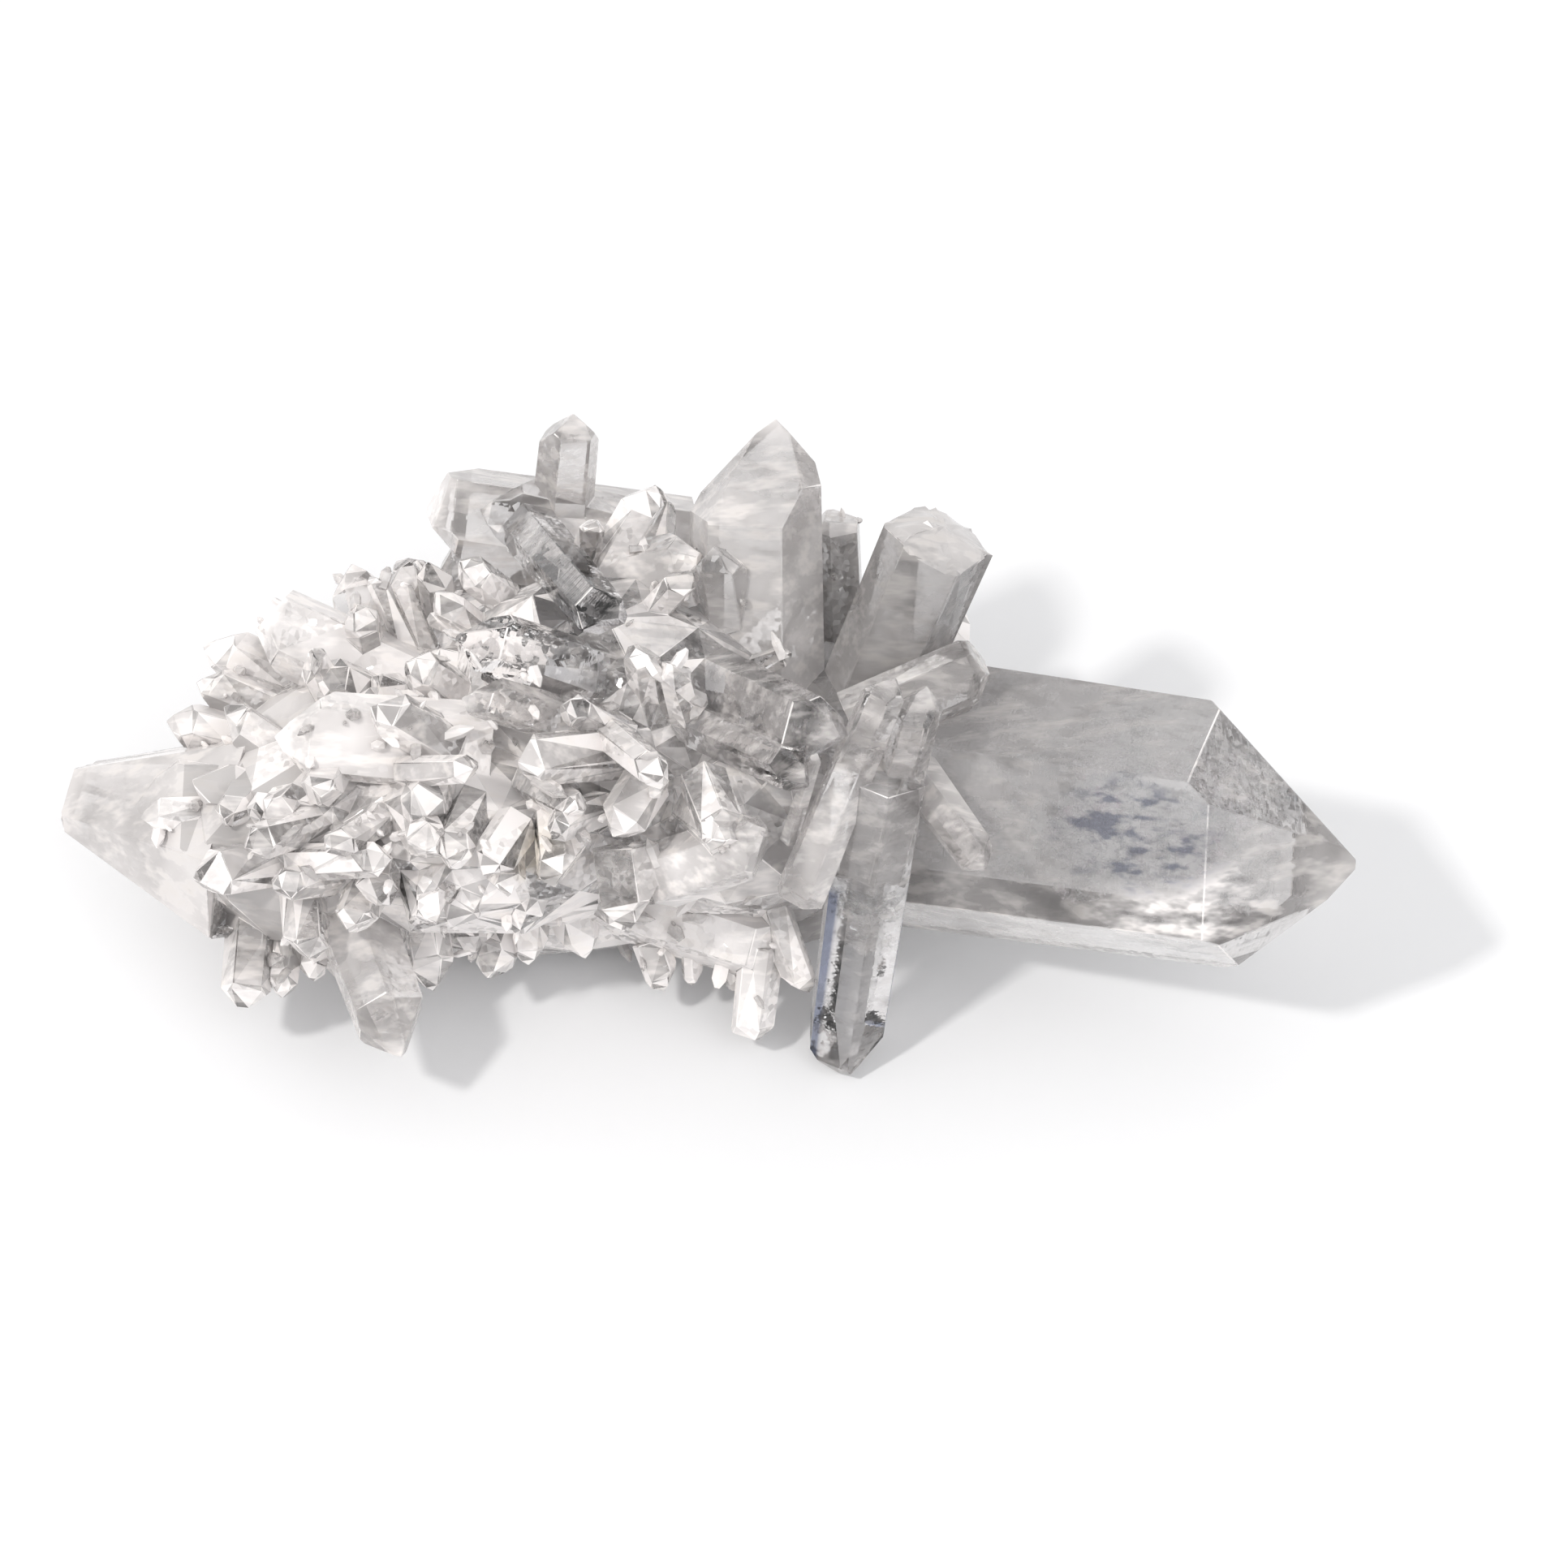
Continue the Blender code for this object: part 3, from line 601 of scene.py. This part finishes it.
def quartz_finish():
    """Clear quartz that clouds over to milky quartz, with growth lines and glinting patches."""
    look = Finish("quartz")
    where = look.place()
    clouds = look.noise(where, CLOUD_SCALE, 2.0, 0.5)
    drawn = look.vector("MULTIPLY", where, STREAK_DRAW)
    streaks = look.noise(drawn, STREAK_SCALE, 2.5, 0.6)
    clear = look.named("clearness")
    pale = look.named("pale")
    part = look.named("part")
    window = look.spread(look.blot(where, *WINDOW) + streaks * 1.4, 1.0, 1.7)
    # Painted reflection: a bright, milkier patch below the main point's window
    painted_gleam = look.blot(where, *PAINTED_GLEAM) * look.spread(streaks, 0.3, 0.6)

    # How milky it is: by crystal, by cloud and streak, more at roots and tips and in the painted
    # reflection, less in the window
    cloud = look.spread(clouds, 0.36, 0.64, -0.10, 0.10)
    veil = look.spread(streaks, 0.48, 0.66, -0.05, 0.16)
    root_milk = look.spread(part, 0.2, 0.9, 0.12, -0.12)
    tip_milk = look.spread(part, 0.9, 1.0, 0.0, 0.3)
    milk = 1.0 - clear + cloud + veil + root_milk + tip_milk + painted_gleam * 0.5 - window * 0.6
    milk = look.spread(milk, 0.15, 0.85)

    # Glints and growth lines
    facets = {"Vector": where, "Scale": 1.0 / FACET_SIZE}
    relief = tilt(look, look.node("ShaderNodeTexVoronoi", None, facets, "Color"))

    # Colours of the milk and of the glass
    rust = look.spread(streaks, 0.5, 0.72) * 0.1 + look.blot(where, *STAIN) * 0.35
    rust = look.spread(rust, 0.0, 1.0)
    colour = look.blend(rust, look.blend(clouds, MILK_DARK, MILK_LIGHT), RUST)
    # Paler by each face's paleness, which holds the painted highlight on the main point's low face,
    # and by the painted reflection
    colour = look.vector("SCALE", colour, look.spread(pale + painted_gleam * 0.4, 0.0, 1.0))
    # Painted shade in deep blue: a strip along one edge of the chosen faces, and dark streaks in
    # the main point's clear window
    shade_strip = look.spread(look.named("across"), -0.66, -0.56, 1.0, 0.0)
    shade_strip = shade_strip * look.spread(part, 0.34, 0.38)
    shade = window * look.spread(streaks, 0.46, 0.58, 0.0, 0.85)
    painted_shade = look.spread(look.named("painted_shade") * shade_strip + shade, 0.0, 1.0)
    colour = look.blend(painted_shade, colour, SHADE_BLUE)
    tint = look.vector("SCALE", GLASS_TINT, pale * 0.4 + 0.6)
    tint = look.blend(painted_shade, tint, SHADE_BLUE)

    glassy = {
        "Base Color": tint,
        "Roughness": GLASS_ROUGHNESS,
        "IOR": QUARTZ_IOR,
        "Transmission Weight": 1.0,
        "Normal": relief,
    }
    milky = {
        "Base Color": colour,
        "Roughness": MILK_ROUGHNESS,
        "IOR": QUARTZ_IOR,
        "Normal": relief,
    }
    clear_side = look.node("ShaderNodeBsdfPrincipled", None, glassy)
    milky_side = look.node("ShaderNodeBsdfPrincipled", None, milky)
    share = {0: milk, 1: clear_side, 2: milky_side}
    surface = look.node("ShaderNodeMixShader", None, share)
    volume = look.node("ShaderNodeVolumeAbsorption", None, ABSORPTION)
    return look.finish(surface, volume)


def veil_finish():
    """Healed cracks: patchy white film that lets most light past."""
    look = Finish("healed_crack")
    where = look.place()
    patches = look.noise(where, 0.9, 5.0, 0.7, 0.8)
    values = {
        "Base Color": CRACK_WHITE,
        "Roughness": 0.25,
        "Alpha": look.spread(patches, 0.47, 0.66, 0.0, 0.75),
        "Thin Film Thickness": CRACK_FILM,
    }
    return look.finish(look.node("ShaderNodeBsdfPrincipled", None, values))


def floor_finish():
    """A plain matt floor."""
    look = Finish("pale_floor")
    values = {"Base Color": FLOOR_GREY, "Roughness": 0.9}
    return look.finish(look.node("ShaderNodeBsdfPrincipled", None, values))


# Floor, light and camera

def make_floor():
    """A wide flat floor under the cluster."""
    let_go()
    bpy.ops.mesh.primitive_plane_add(size=6.0)
    floor = bpy.context.object
    floor.name = "floor"
    floor.data.materials.append(floor_finish())


def add_lamp(name, direction, distance, size, power, colour):
    """A soft square lamp that shines at the middle of the cluster."""
    lamp = bpy.data.lights.new(name, "AREA")
    lamp.size = size
    lamp.energy = power
    lamp.color = colour
    holder = bpy.data.objects.new(name, lamp)
    bpy.context.scene.collection.objects.link(holder)
    holder.location = Vector(direction).normalized() * distance + Vector((0.0, 0.0, 0.02))
    holder.rotation_mode = "QUATERNION"
    holder.rotation_quaternion = Vector(direction).to_track_quat("Z", "Y")


def light_studio():
    """An even white sky and the lamps."""
    world = bpy.data.worlds.new("studio")
    bpy.context.scene.world = world
    world.use_nodes = True
    sky = world.node_tree.nodes["Background"]
    sky.inputs["Color"].default_value = (1.0, 1.0, 1.0, 1.0)
    sky.inputs["Strength"].default_value = SKY
    for name, values in LAMPS.items():
        add_lamp(name, *values)
    bpy.context.scene.view_settings.view_transform = "Standard"
    paths = bpy.context.scene.cycles
    for name, count in BOUNCES.items():
        setattr(paths, name, count)


def place_camera():
    """The photograph's view: from the front, 50 degrees above the horizon."""
    right, up = PICTURE_MIDDLE
    aim = (RIGHT * right + UP * up + Vector((0.0, 0.0, LAYOUT_HEIGHT)) + FRAME_SHIFT) * MM
    lens = bpy.data.cameras.new("camera")
    lens.lens = LENS
    lens.sensor_width = SENSOR
    lens.clip_start = 0.01
    lens.clip_end = 20.0
    camera = bpy.data.objects.new("camera", lens)
    bpy.context.scene.collection.objects.link(camera)
    camera.location = aim + NEAR * (PICTURE_WIDTH * MM * LENS / SENSOR)
    camera.rotation_mode = "QUATERNION"
    camera.rotation_quaternion = NEAR.to_track_quat("Z", "Y")
    bpy.context.scene.camera = camera


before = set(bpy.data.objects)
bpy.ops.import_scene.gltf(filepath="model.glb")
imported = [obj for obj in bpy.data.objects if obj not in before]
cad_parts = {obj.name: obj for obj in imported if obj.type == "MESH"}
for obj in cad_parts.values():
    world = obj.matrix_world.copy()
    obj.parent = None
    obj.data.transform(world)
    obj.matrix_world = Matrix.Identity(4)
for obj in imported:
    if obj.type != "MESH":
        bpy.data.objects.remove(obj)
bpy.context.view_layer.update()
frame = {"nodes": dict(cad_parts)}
rng = random.Random(5)

crystals = make_body(frame)
note_faces(crystals, rng)
tiny_crystals = make_druse(crystals, rng)
inner_veils = make_veils(rng)
quartz = quartz_finish()
for piece in (crystals, tiny_crystals):
    piece.data.materials.append(quartz)
inner_veils.data.materials.append(veil_finish())

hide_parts("quartz_cluster")
for piece in (crystals, tiny_crystals, inner_veils):
    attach(piece, "root")

make_floor()
light_studio()
place_camera()
